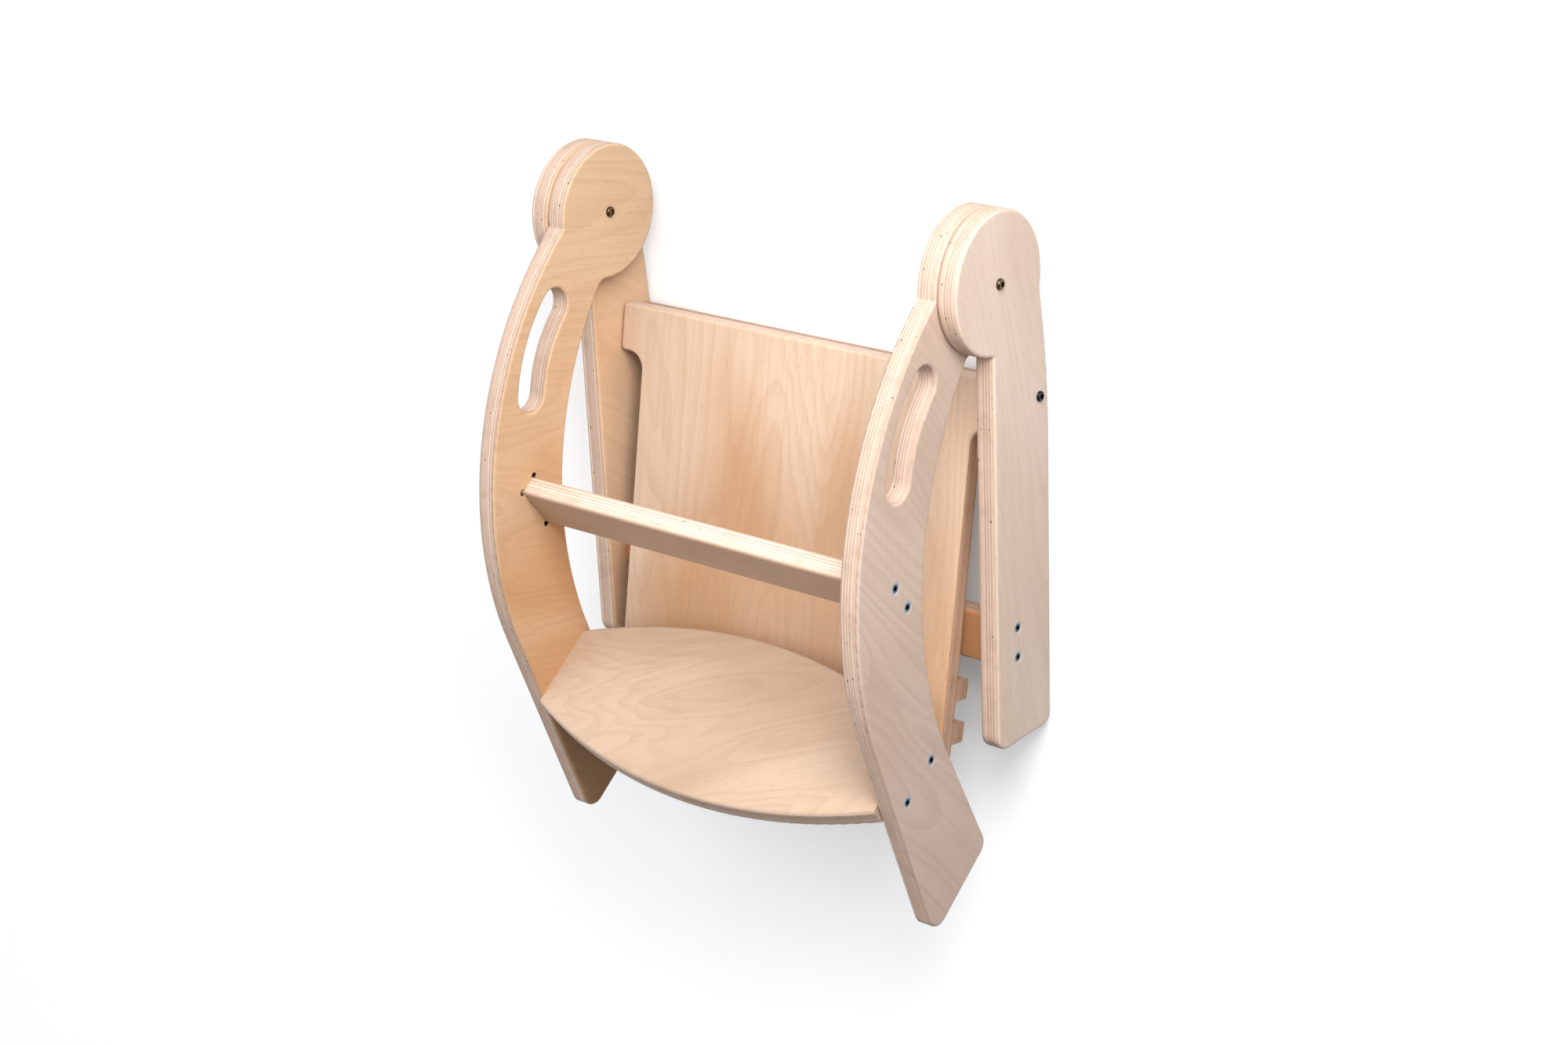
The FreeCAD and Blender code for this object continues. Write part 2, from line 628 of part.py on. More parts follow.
def seat_panel(label):
    """The seat board: wide ears at the hinge, narrower body that passes between the rocker legs."""
    body = new_body(label)
    pivot_y = size("seat_pivot_y")
    ear_x = size("half_width") - size("ply") - size("seat_side_gap")
    body_x = size("seat_half_width")
    rear_y = pivot_y + size("seat_rear_overhang")
    step_y = pivot_y - size("ear_length")
    front_y = pivot_y - size("seat_reach")
    rear_text = "dims.seat_pivot_y + dims.seat_rear_overhang"
    step_text = "dims.seat_pivot_y - dims.ear_length"
    front_text = "dims.seat_pivot_y - dims.seat_reach"

    corners = []
    for way in (1, -1):
        ear = (way * ear_x, f"{way} * ({EAR_HALF_WIDTH})")
        waist = (way * body_x, f"{way} * dims.seat_half_width")
        stations = [(ear, (rear_y, rear_text)), (ear, (step_y, step_text)),
                    (waist, (step_y, step_text)), (waist, (front_y, front_text))]
        corners += stations if way > 0 else stations[::-1]
    outline = new_sketch(body, "outline", LEVEL_PLANE, f"{SEAT_UNDERSIDE} + {HALF_PLY}")
    points = [(x[0], y[0]) for x, y in corners]
    count = len(points)
    sides = [line(outline, points[i], points[(i + 1) % count]) for i in range(count)]
    for i, (x, y) in enumerate(corners):
        join(outline, sides[i - 1], END, sides[i], START)
        fix_x(outline, sides[i], START, x[0], x[1])
        fix_y(outline, sides[i], START, y[0], y[1])

    blank = pad_both_ways(body, outline, "dims.ply")

    def upright_at(feature, x, y):
        return edges_where(feature, lambda p: near(abs(p.x), x) and near(p.y, y))

    stepped = fillet_edges(body, "step", blank, upright_at(blank, body_x, step_y), "dims.ear_fillet")
    outer_corners = []
    for x, y in ((ear_x, rear_y), (ear_x, step_y), (body_x, front_y)):
        outer_corners += upright_at(stepped, x, y)
    cornered = fillet_edges(body, "corners", stepped, outer_corners, "dims.seat_corner_radius")
    low = size("seat_pivot_z") + size("rail_size") / 2
    high = low + size("ply")
    rims = edges_where(cornered, lambda p: near(p.z, low) or near(p.z, high))
    fillet_edges(body, "roundover", cornered, rims, "dims.roundover")
    for name, y_text, y in batten_lines():
        holes = new_sketch(body, f"{name}_pilots", LEVEL_PLANE, SEAT_UNDERSIDE)
        for way in BATTEN_SCREW_WAYS:
            circle(holes, (way * size("cleat_screw_x"), y), (f"{way} * dims.cleat_screw_x", y_text),
                   size("screw_shank_radius") + size("screw_play"),
                   "dims.screw_shank_radius + dims.screw_play")
        pocket(body, f"{name}_pilot", holes,
               "dims.short_screw_length - dims.rail_size + 2 * dims.screw_sink", towards_plus=True)
    return body


def batten_lines():
    """The middle line of each batten under the seat: its name, and its y as text and number."""
    half_pitch = (size("cleat_gap") + size("cleat_width")) / 2
    pitch_text = "(dims.cleat_gap + dims.cleat_width) / 2"
    return (
        ("rail", "dims.seat_pivot_y", size("seat_pivot_y")),
        ("rear_cleat", f"dims.slat_y + {pitch_text}", size("slat_y") + half_pitch),
        ("front_cleat", f"dims.slat_y - {pitch_text}", size("slat_y") - half_pitch),
    )


def batten(label, line_name, width_text, width, half_length_text, rounded_alias):
    """A square batten along X under the seat panel, screwed up into it from below."""
    body = new_body(label)
    _, y_text, y = next(entry for entry in batten_lines() if entry[0] == line_name)
    depth = size("rail_size")
    top = size("seat_pivot_z") + depth / 2
    section = new_sketch(body, "section")
    rectangle(section, (y - width / 2, top - depth), (y + width / 2, top),
              (f"{y_text} - {width_text} / 2", f"{SEAT_UNDERSIDE} - dims.rail_size"),
              (f"{y_text} + {width_text} / 2", SEAT_UNDERSIDE))
    bar = pad_both_ways(body, section, f"2 * ({half_length_text})")
    lower = edges_where(bar, lambda p: near(p.z, top - depth) and near(abs(p.y - y), width / 2))
    fillet_edges(body, "roundover", bar, lower, f"dims.{rounded_alias}")
    holes = new_sketch(body, "screws", LEVEL_PLANE, f"{SEAT_UNDERSIDE} - dims.rail_size")
    for way in BATTEN_SCREW_WAYS:
        circle(holes, (way * size("cleat_screw_x"), y), (f"{way} * dims.cleat_screw_x", y_text),
               size("screw_shank_radius"), "dims.screw_shank_radius")
    screw_holes(body, "screw_hole", holes, towards_plus=True)
    return body


def hinge_rail(label):
    """The batten whose ends take the threaded inserts of the seat pivot."""
    body = batten(label, "rail", "dims.rail_size", size("rail_size"), EAR_HALF_WIDTH, "cleat_chamfer")
    centre = (size("seat_pivot_y"), size("seat_pivot_z"))
    for end, sign in (("left", "-"), ("right", "")):
        hole = new_sketch(body, f"insert_{end}", offset=f"{sign}({EAR_HALF_WIDTH})")
        circle(hole, centre, ("dims.seat_pivot_y", "dims.seat_pivot_z"),
               size("insert_radius") + size("screw_play"), "dims.insert_radius + dims.screw_play")
        pocket(body, f"insert_hole_{end}", hole, "dims.insert_length", towards_plus=end == "left")
    return body


def cleat(label, line_name):
    """One of the two battens that grip the slat between them in use."""
    return batten(label, line_name, "dims.cleat_width", size("cleat_width"),
                  "dims.cleat_half_length", "cleat_chamfer")


# ---------------------------------------------------------------- fasteners

OUT_OF_SIDE = {
    -1: FreeCAD.Rotation(FreeCAD.Vector(0, 1, 0), -90),
    1: FreeCAD.Rotation(FreeCAD.Vector(0, 1, 0), 90),
}
DOWN = FreeCAD.Rotation(FreeCAD.Vector(1, 0, 0), 180)


def place_on_axis(item, side, facing, x_text, axis_parts):
    """Point a part built on the Z axis out of the side it faces, at its place along a hinge axis."""
    item.Placement = FreeCAD.Placement(FreeCAD.Vector(), OUT_OF_SIDE[facing])
    bind(item, **{".Placement.Base.x": f"{side} * ({x_text})"})
    axis_parts.append(item)


def primitive(kind, name, base_z="0", **expressions):
    """A Part primitive on the local Z axis whose sizes are bound to the sheet."""
    item = document.addObject(f"Part::{kind}", name)
    bind(item, **expressions)
    bind(item, **{".Placement.Base.z": base_z})
    return item


def cut(name, base, tool):
    item = document.addObject("Part::Cut", name)
    item.Base, item.Tool = base, tool
    return item


def fuse(name, *shapes):
    item = document.addObject("Part::MultiFuse", name)
    item.Shapes = list(shapes)
    return item


def hex_socket(name, top_text):
    socket = primitive("Prism", f"{name}_socket", f"{top_text} - dims.hex_depth",
                       Circumradius="dims.hex_radius", Height="dims.hex_depth + 1")
    socket.Polygon = 6
    return socket


def wood_screw(name, length_alias):
    """A countersunk screw on the local Z axis, head face at zero and point downwards."""
    head = primitive("Cone", f"{name}_head", "-dims.screw_head_height",
                     Radius1="dims.screw_shank_radius", Radius2="dims.screw_head_radius",
                     Height="dims.screw_head_height")
    shank = primitive("Cylinder", f"{name}_shank", f"dims.screw_tip - dims.{length_alias}",
                      Radius="dims.screw_shank_radius",
                      Height=f"dims.{length_alias} - dims.screw_tip - dims.screw_head_height")
    tip = primitive("Cone", f"{name}_tip", f"-dims.{length_alias}",
                    Radius1="dims.screw_shank_radius / 5", Radius2="dims.screw_shank_radius",
                    Height="dims.screw_tip")
    return cut(name, fuse(f"{name}_solid", head, shank, tip), hex_socket(name, "0"))


def button_bolt(name, head_radius, head_height, shank_radius, reach_text, dome_alias):
    """A bolt on the local Z axis with a domed head above zero and its shank below."""
    disc = primitive("Cylinder", f"{name}_disc", Radius=f"dims.{head_radius}",
                     Height=f"dims.{head_height}")
    shank = primitive("Cylinder", f"{name}_shank", f"-({reach_text})",
                      Radius=f"dims.{shank_radius}", Height=reach_text)
    document.recompute()
    dome = document.addObject("Part::Fillet", f"{name}_dome")
    dome.Base = disc
    top_edge = next(number for number, edge in enumerate(disc.Shape.Edges, start=1)
                    if near(edge.Vertexes[0].Z, size(head_height))
                    and near(edge.CenterOfMass.z, size(head_height)))
    dome.Edges = [(top_edge, size(dome_alias), size(dome_alias))]
    return cut(name, fuse(f"{name}_solid", dome, shank), hex_socket(name, f"dims.{head_height}"))


def tube(name, outer_text, inner_text, length_text):
    outer = primitive("Cylinder", f"{name}_outer", Radius=outer_text, Height=length_text)
    inner = primitive("Cylinder", f"{name}_inner", "-1", Radius=inner_text,
                      Height=f"{length_text} + 2")
    return cut(name, outer, inner)


def screw_group(label, master, places):
    """One node of identical screws: copies of one screw, each at its own place."""
    copies = []
    for number, (rotation, x_text, y_text, z_text) in enumerate(places, start=1):
        copy = document.addObject("App::Link", f"{label}_{number}")
        copy.LinkedObject = master
        copy.Placement = FreeCAD.Placement(FreeCAD.Vector(), rotation)
        bind(copy, **{".Placement.Base.x": x_text, ".Placement.Base.y": y_text,
                      ".Placement.Base.z": z_text})
        copies.append(copy)
    group = document.addObject("Part::Compound", label)
    group.Links = copies
    return group


def side_places(face_text, centres):
    """Screws driven inwards through both side faces at the given (y, z) centres."""
    return [(OUT_OF_SIDE[side], f"{side} * ({face_text} - dims.screw_sink)", y_text, z_text)
            for side in SIDES.values() for _, (y_text, z_text) in centres]


def batten_places(names):
    """Screws driven upwards through the named battens."""
    level = f"{SEAT_UNDERSIDE} - dims.rail_size + dims.screw_sink"
    return [(DOWN, f"{way} * dims.cleat_screw_x", y_text, level)
            for name, y_text, _ in batten_lines() if name in names for way in BATTEN_SCREW_WAYS]


# ---------------------------------------------------------------- building every node

rear_frame, rocker_frame, seat_group = [], [], []
head_axis_parts, seat_axis_parts = [], []

rear_frame.append(strip("rear_stretcher", STRETCHER_CENTRE, STRETCHER_TEXTS, REAR_INNER_FACE,
                        PILOT_DEPTH, STRETCHER_SCREWS))
rocker_frame.append(strip("slat", SLAT_CENTRE, SLAT_TEXTS,
                          f"{ROCKER_INNER_FACE} + dims.slat_pocket_depth",
                          f"{PILOT_DEPTH} + dims.slat_pocket_depth", SLAT_SCREWS))
rocker_frame.append(platform("platform"))
seat_group.append(seat_panel("seat_panel"))
seat_group.append(hinge_rail("hinge_rail"))
seat_group.append(cleat("rear_cleat", "rear_cleat"))
seat_group.append(cleat("front_cleat", "front_cleat"))

long_screw = wood_screw("long_screw", "screw_length")
short_screw = wood_screw("short_screw", "short_screw_length")
ROCKER_OUTER_FACE = f"{REAR_INNER_FACE} - dims.leg_gap"
rear_frame.append(screw_group("stretcher_screws", long_screw,
                              side_places("dims.half_width", STRETCHER_SCREWS)))
rocker_frame.append(screw_group("slat_screws", long_screw,
                                side_places(ROCKER_OUTER_FACE, SLAT_SCREWS)))
rocker_frame.append(screw_group("platform_screws", long_screw,
                                side_places(ROCKER_OUTER_FACE, PLATFORM_SCREWS)))
seat_group.append(screw_group("rail_screws", short_screw, batten_places(("rail",))))
seat_group.append(screw_group("cleat_screws", short_screw,
                              batten_places(("rear_cleat", "front_cleat"))))

for side_name, side in SIDES.items():
    rear_frame.append(rear_leg(f"rear_leg_{side_name}", side))
    rocker_frame.append(rocker_leg(f"rocker_leg_{side_name}", side))

    head_bolt = button_bolt(f"head_bolt_{side_name}", "eye_radius", "eye_height",
                            "head_bolt_radius", "dims.face_play + dims.head_bolt_reach", "eye_dome")
    place_on_axis(head_bolt, side, side, "dims.half_width + dims.face_play", head_axis_parts)

    sleeve_reach = "2 * dims.ply + dims.leg_gap + dims.face_play - dims.sleeve_setback"
    sleeve_nut = button_bolt(f"sleeve_blank_{side_name}", "eye_radius", "eye_height",
                             "sleeve_radius", sleeve_reach, "eye_dome")
    sleeve_bore = primitive("Cylinder", f"sleeve_bore_{side_name}", f"-({sleeve_reach}) - 1",
                            Radius="dims.sleeve_bore_radius", Height="dims.head_bolt_reach + 2")
    head_sleeve = cut(f"head_sleeve_{side_name}", sleeve_nut, sleeve_bore)
    place_on_axis(head_sleeve, side, -side, f"{ROCKER_INNER_FACE} - dims.face_play",
                  head_axis_parts)

    head_washer = tube(f"head_washer_{side_name}", "dims.head_washer_radius",
                       "dims.sleeve_radius + dims.running_play", "dims.leg_gap - dims.face_play")
    place_on_axis(head_washer, side, side, f"{ROCKER_OUTER_FACE} + dims.face_play",
                  head_axis_parts)

    seat_bolt = button_bolt(f"seat_bolt_{side_name}", "seat_bolt_head_radius",
                            "seat_bolt_head_height", "seat_bolt_radius",
                            "dims.face_play + dims.ply + dims.seat_side_gap + dims.seat_bolt_reach",
                            "seat_bolt_dome")
    place_on_axis(seat_bolt, side, side, "dims.half_width + dims.face_play", seat_axis_parts)

    seat_insert = tube(f"seat_insert_{side_name}", "dims.insert_radius",
                       "dims.seat_bolt_radius + dims.screw_play", "dims.insert_length")
    place_on_axis(seat_insert, side, -side, EAR_HALF_WIDTH, seat_axis_parts)

    seat_washer = tube(f"seat_washer_{side_name}", "dims.seat_washer_radius",
                       "dims.seat_bolt_radius + dims.running_play",
                       "dims.seat_side_gap - dims.face_play")
    place_on_axis(seat_washer, side, side, EAR_HALF_WIDTH, seat_axis_parts)

# ---------------------------------------------------------------- the stored position

# The rear legs lie on their straight back edges, so their own Z runs towards +Y.
SEAT_AXIS_Y = "dims.origin_to_pivot + dims.seat_pivot_z"
SEAT_AXIS_Z = "dims.leg_back - dims.seat_pivot_y"
SEAT_TILT = "(dims.seat_fold_angle - 90)"
LYING = FreeCAD.Rotation(FreeCAD.Vector(1, 0, 0), -90)


def lay_down(items, angle_text, y_text, z_text):
    """Turn a group about X and set it down, keeping each part's own position along X."""
    for item in items:
        item.Placement.Rotation = LYING
        bind(item, **{".Placement.Rotation.Angle": angle_text,
                      ".Placement.Base.y": y_text, ".Placement.Base.z": z_text})


lay_down(rear_frame, "-90", "dims.origin_to_pivot", "dims.leg_back")
lay_down(rocker_frame, "dims.stand_angle - 90", "dims.origin_to_pivot", "dims.leg_back")
lay_down(seat_group, SEAT_TILT,
         f"{SEAT_AXIS_Y} - (dims.seat_pivot_y * cos({SEAT_TILT})"
         f" - dims.seat_pivot_z * sin({SEAT_TILT}))",
         f"{SEAT_AXIS_Z} - (dims.seat_pivot_y * sin({SEAT_TILT})"
         f" + dims.seat_pivot_z * cos({SEAT_TILT}))")
for item in head_axis_parts:
    bind(item, **{".Placement.Base.y": "dims.origin_to_pivot", ".Placement.Base.z": "dims.leg_back"})
for item in seat_axis_parts:
    bind(item, **{".Placement.Base.y": SEAT_AXIS_Y, ".Placement.Base.z": SEAT_AXIS_Z})
document.recompute()

# ---------------------------------------------------------------- checks and files

for item in document.Objects:
    if "Invalid" in item.State or "Error" in item.State:
        raise RuntimeError(f"{item.Name} did not compute: {item.State}")

nodes = rear_frame + rocker_frame + seat_group + head_axis_parts + seat_axis_parts
box = FreeCAD.BoundBox()
for node in nodes:
    if node.Shape.isNull() or not node.Shape.isValid():
        raise RuntimeError(f"{node.Label} has no valid shape")
    box.add(node.Shape.optimalBoundingBox())
if abs(box.YMax + box.YMin) > 0.2 or abs(box.ZMin) > 0.05:
    raise RuntimeError(f"the origin is not under the middle: {box}")

os.makedirs("parts", exist_ok=True)
for node in nodes:
    node.Shape.exportStep(f"parts/{node.Label}.step")
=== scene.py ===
import bpy
import math
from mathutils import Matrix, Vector


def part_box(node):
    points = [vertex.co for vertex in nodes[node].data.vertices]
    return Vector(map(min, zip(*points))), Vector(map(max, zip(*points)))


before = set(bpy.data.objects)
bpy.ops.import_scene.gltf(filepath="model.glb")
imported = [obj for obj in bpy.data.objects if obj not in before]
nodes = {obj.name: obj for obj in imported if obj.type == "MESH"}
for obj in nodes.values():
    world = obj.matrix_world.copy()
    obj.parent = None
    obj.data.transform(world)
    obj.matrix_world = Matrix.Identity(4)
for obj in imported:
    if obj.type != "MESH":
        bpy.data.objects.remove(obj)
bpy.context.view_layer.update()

# ---------------------------------------------------------------- camera

CAMERA_PLACE = (1.3696, 0.8775, 1.7461)
CAMERA_TURN = (-24.083, 38.325, -3.013)  # degrees
SENSOR_WIDTH = 36.0
FOCAL_LENGTH = 63.57

camera_data = bpy.data.cameras.new("camera")
camera_data.sensor_width = SENSOR_WIDTH
camera_data.lens = FOCAL_LENGTH
camera = bpy.data.objects.new("camera", camera_data)
bpy.context.scene.collection.objects.link(camera)
camera.location = CAMERA_PLACE
camera.rotation_euler = [math.radians(angle) for angle in CAMERA_TURN]
bpy.context.scene.camera = camera

# ---------------------------------------------------------------- node helpers

# a colour mix node's own sockets, among those of its other data types
MIX_FIRST, MIX_SECOND, MIX_RESULT = 6, 7, 2


class Graph:
    """A short way to write a material's nodes."""

    def __init__(self, name):
        self.material = bpy.data.materials.new(name)
        self.material.use_nodes = True
        self.nodes = self.material.node_tree.nodes
        self.links = self.material.node_tree.links
        self.shader = self.nodes["Principled BSDF"]

    def feed(self, socket, value):
        if isinstance(value, bpy.types.NodeSocket):
            self.links.new(value, socket)
        else:
            socket.default_value = value

    def math(self, operation, first, second=0.0):
        node = self.nodes.new("ShaderNodeMath")
        node.operation = operation
        for socket, value in zip(node.inputs, (first, second)):
            self.feed(socket, value)
        return node.outputs[0]

    def dot(self, vector, axis):
        node = self.nodes.new("ShaderNodeVectorMath")
        node.operation = "DOT_PRODUCT"
        self.feed(node.inputs[0], vector)
        node.inputs[1].default_value = axis
        return node.outputs["Value"]

    def distance_to_axis(self, place, y, z):
        """How far a point is from the axis along X through (y, z)."""
        node = self.nodes.new("ShaderNodeVectorMath")
        node.operation = "DISTANCE"
        self.feed(node.inputs[0], self.stretch(place, (0.0, 1.0, 1.0)))
        node.inputs[1].default_value = (0.0, y, z)
        return node.outputs["Value"]

    def vector(self, x, y, z):
        node = self.nodes.new("ShaderNodeCombineXYZ")
        for socket, value in zip(node.inputs, (x, y, z)):
            self.feed(socket, value)
        return node.outputs[0]

    def stretch(self, vector, factors):
        node = self.nodes.new("ShaderNodeVectorMath")
        node.operation = "MULTIPLY"
        self.feed(node.inputs[0], vector)
        node.inputs[1].default_value = factors
        return node.outputs[0]

    def noise(self, vector, detail=2.0, roughness=0.5, distortion=0.0):
        node = self.nodes.new("ShaderNodeTexNoise")
        self.feed(node.inputs["Vector"], vector)
        node.inputs["Scale"].default_value = 1.0
        node.inputs["Detail"].default_value = detail
        node.inputs["Roughness"].default_value = roughness
        node.inputs["Distortion"].default_value = distortion
        return node.outputs["Fac"]

    def random(self, value):
        node = self.nodes.new("ShaderNodeTexWhiteNoise")
        node.noise_dimensions = "1D"
        self.feed(node.inputs["W"], value)
        return node.outputs["Value"]

    def span(self, value, low, high, to_low=0.0, to_high=1.0):
        """A smooth step from to_low, at low, to to_high, at high."""
        node = self.nodes.new("ShaderNodeMapRange")
        node.interpolation_type = "SMOOTHSTEP"
        for socket, number in zip(node.inputs, (value, low, high, to_low, to_high)):
            self.feed(socket, number)
        return node.outputs[0]

    def mix(self, share, first, second, blend="MIX"):
        node = self.nodes.new("ShaderNodeMix")
        node.data_type = "RGBA"
        node.blend_type = blend
        self.feed(node.inputs["Factor"], share)
        self.feed(node.inputs[MIX_FIRST], first)
        self.feed(node.inputs[MIX_SECOND], second)
        return node.outputs[MIX_RESULT]

    def bump(self, height, strength, distance):
        node = self.nodes.new("ShaderNodeBump")
        node.inputs["Strength"].default_value = strength
        node.inputs["Distance"].default_value = distance
        self.feed(node.inputs["Height"], height)
        self.links.new(node.outputs[0], self.shader.inputs["Normal"])

    def object_place(self):
        return self.nodes.new("ShaderNodeTexCoord").outputs["Object"]


def linear(red, green, blue):
    """An sRGB colour in 0-255 as the linear colour that a shader wants."""
    def channel(value):
        share = value / 255
        return share / 12.92 if share <= 0.04045 else ((share + 0.055) / 1.055) ** 2.4
    return (channel(red), channel(green), channel(blue), 1.0)


def shaded(colour, share):
    """The same colour, darkened."""
    return tuple(share * channel for channel in colour[:3]) + (1.0,)


# ---------------------------------------------------------------- plywood

ACROSS = (1.0, 0.0, 0.0)
ALONG = (0.0, 1.0, 0.0)
PLY_COUNT = 13
PLY_WANDER = 0.00022
POCKET_REACH = 0.0285
BACK_EDGE_DEPTH = 0.006
CUT_PALE, CUT_DARK = linear(236, 214, 195), linear(190, 157, 136)
# KNOT is the colour of core knots; the second colour is painted shade for the deep walls of the
# slat's pocket
KNOT, PAINTED_POCKET_SHADE = linear(70, 44, 30), linear(58, 38, 26)


def in_pocket(g, place):
    """1 on the walls of the slat's pocket and its corner reliefs, where shade is painted, 0 elsewhere
    on a cut.
    """
    low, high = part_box("slat")
    middle = (low + high) / 2
    reach = g.distance_to_axis(place, middle.y, middle.z)
    near = g.span(reach, POCKET_REACH + 0.001, POCKET_REACH)
    inside = g.span(g.math("ABSOLUTE", g.dot(place, ACROSS)), high.x + 0.001, high.x + 0.0005)
    return g.math("MULTIPLY", near, inside)


def plywood(name, normal, grain, node_name, tone, seed, figure, rings, cut, painted_shade_lean, painted_highlight_back_cut):
    """Birch plywood: a grained face veneer on both broad faces, and its plies where they are cut.

    normal is the sheet's thickness direction and grain the face veneer's, in the row frame.
    figure is the strength of the growth rings and rings how many of them the field spans,
    cut the tint of the cut plies and painted_highlight_back_cut that of the sheet's far, high-Y
    edge, where a paler tint is a painted highlight, and painted_shade_lean how far painted shade
    deepens the tone towards the sheet's front, low-Y end."""
    g = Graph(name)
    normal = Vector(normal).normalized()
    grain = Vector(grain)
    grain = (grain - normal * grain.dot(normal)).normalized()
    across = normal.cross(grain)
    depths = [vertex.co.dot(normal) for vertex in nodes[node_name].data.vertices]
    low, high = min(depths), max(depths)

    place = g.object_place()
    depth = g.math("SUBTRACT", g.dot(place, normal), low)
    along = g.dot(place, grain)
    aside = g.dot(place, across)
    local = g.vector(g.math("ADD", along, seed * 1.7), g.math("ADD", aside, seed * 0.9), seed)

    # face veneer: soft clouds, growth rings as contours of a stretched field, fibre and pores
    front, back = (corner[1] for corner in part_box(node_name))
    forward = g.math("SUBTRACT", (front + back) / 2, g.dot(place, ALONG))
    # painted shade: the deeper tone gathers towards the sheet's front, low-Y end, where less light
    # falls
    painted_shade_tilt = g.math("MULTIPLY", forward, 2 * painted_shade_lean / (back - front))
    cloud = g.math("ADD", g.noise(g.stretch(local, (4.0, 9.0, 1.0)), detail=2.0), painted_shade_tilt)
    field = g.noise(g.stretch(local, (2.6, 13.0, 1.0)), detail=1.5, roughness=0.40, distortion=0.18)
    ring_place = g.math("MULTIPLY", field, rings)
    ring_share = g.math("FRACT", ring_place)
    ring_line = g.math("MULTIPLY", g.span(ring_share, 0.25, 0.93), g.span(ring_share, 1.0, 0.93))
    ring_tone = g.random(g.math("FLOOR", ring_place))
    streak = g.noise(g.stretch(local, (6.0, 260.0, 1.0)), detail=3.0, roughness=0.6)
    fibre = g.noise(g.stretch(local, (45.0, 1500.0, 1.0)), detail=2.0)
    pores = g.span(g.noise(g.stretch(local, (120.0, 1300.0, 1.0)), detail=1.0), 0.64, 0.72)

    light, deep = tone
    face = g.mix(g.span(cloud, 0.28, 0.76), light, deep)
    face = g.mix(g.math("MULTIPLY", ring_tone, 0.10 * figure), face, shaded(deep, 0.84))
    face = g.mix(g.math("MULTIPLY", ring_line, 0.19 * figure), face, shaded(deep, 0.74))
    face = g.mix(g.math("MULTIPLY", g.span(streak, 0.42, 0.78), 0.22), face, shaded(deep, 0.82))
    face = g.mix(g.math("MULTIPLY", pores, 0.36), face, shaded(deep, 0.52))

    # the plies, where an edge, a bore or a countersink cuts them
    wander = g.noise(g.stretch(place, (30.0, 30.0, 30.0)), detail=1.0)
    wavy = g.math("ADD", depth, g.math("MULTIPLY", g.math("SUBTRACT", wander, 0.5), PLY_WANDER))
    ply_place = g.math("DIVIDE", wavy, (high - low) / PLY_COUNT)
    ply_number = g.math("FLOOR", ply_place)
    ply_share = g.math("FRACT", ply_place)
    is_cross = g.math("FLOORED_MODULO", ply_number, 2.0)
    glue = g.math("MAXIMUM", g.span(ply_share, 0.12, 0.0), g.span(ply_share, 0.88, 1.0))
    ply_tone = g.random(g.math("ADD", ply_number, seed))
    run = g.noise(g.stretch(place, (55.0, 55.0, 55.0)), detail=4.0, roughness=0.7)
    edge = g.mix(g.math("MULTIPLY", is_cross, 0.55), CUT_PALE, CUT_DARK)
    edge = g.mix(g.math("MULTIPLY", ply_tone, 0.62), edge, shaded(CUT_DARK, 0.82))
    edge = g.mix(g.math("MULTIPLY", g.span(run, 0.45, 0.72), 0.32), edge, shaded(CUT_DARK, 0.74))
    edge = g.mix(g.math("MULTIPLY", glue, 0.50), edge, shaded(CUT_DARK, 0.45))
    knots = g.noise(g.stretch(place, (260.0, 260.0, 700.0)), detail=0.0)
    speck = g.math("MULTIPLY", g.span(knots, 0.78, 0.82), is_cross)
    edge = g.mix(g.math("MULTIPLY", speck, 0.85), edge, KNOT)
    # painted highlight: the far, high-Y edge takes its own tint, paler on the seat panel
    painted_highlight_far_edge = g.span(g.dot(place, ALONG), back - BACK_EDGE_DEPTH, back - BACK_EDGE_DEPTH / 2)
    edge = g.mix(1.0, edge, g.mix(painted_highlight_far_edge, cut, painted_highlight_back_cut), blend="MULTIPLY")

    # painted shade on the walls of the slat's pocket and its corner reliefs
    if node_name.startswith("rocker_leg"):
        edge = g.mix(in_pocket(g, place), edge, PAINTED_POCKET_SHADE)

    # the two outer plies show as face veneer, all the others as cut plies
    below_top = g.span(ply_place, PLY_COUNT - 0.88, PLY_COUNT - 1.02)
    inner = g.math("MULTIPLY", g.span(ply_place, 0.88, 1.02), below_top)
    g.feed(g.shader.inputs["Base Color"], g.mix(inner, face, edge))
    rough = g.span(streak, 0.3, 0.8, 0.46, 0.60)
    g.feed(g.shader.inputs["Roughness"], g.math("ADD", rough, g.math("MULTIPLY", inner, 0.12)))
    g.shader.inputs["Specular IOR Level"].default_value = 0.32
    relief = g.math("SUBTRACT", g.math("MULTIPLY", fibre, 0.6), g.math("MULTIPLY", pores, 0.5))
    relief = g.math("SUBTRACT", relief, g.math("MULTIPLY", g.math("MULTIPLY", glue, inner), 0.8))
    g.bump(relief, 0.18, 0.00025)
    return g.material


# ---------------------------------------------------------------- metals and plastic

HEAD_RADIUS = 0.005
RIM_START, RIM_FULL = 0.0034, 0.0040  # distance from the screw's axis where the painted rim highlight starts and is full
SOCKET_START, SOCKET_FULL = 0.0003, 0.0014  # depth below the outermost face over which painted shade fills the socket


def head_axes(node_name):
    """The (y, z) places of the two axes that the four screws of a node share."""
    points = [vertex.co for vertex in nodes[node_name].data.vertices]
    back = max(points, key=lambda point: point.y)
    front = min(points, key=lambda point: point.y)
    return ((back.y - HEAD_RADIUS, back.z), (front.y + HEAD_RADIUS, front.z))


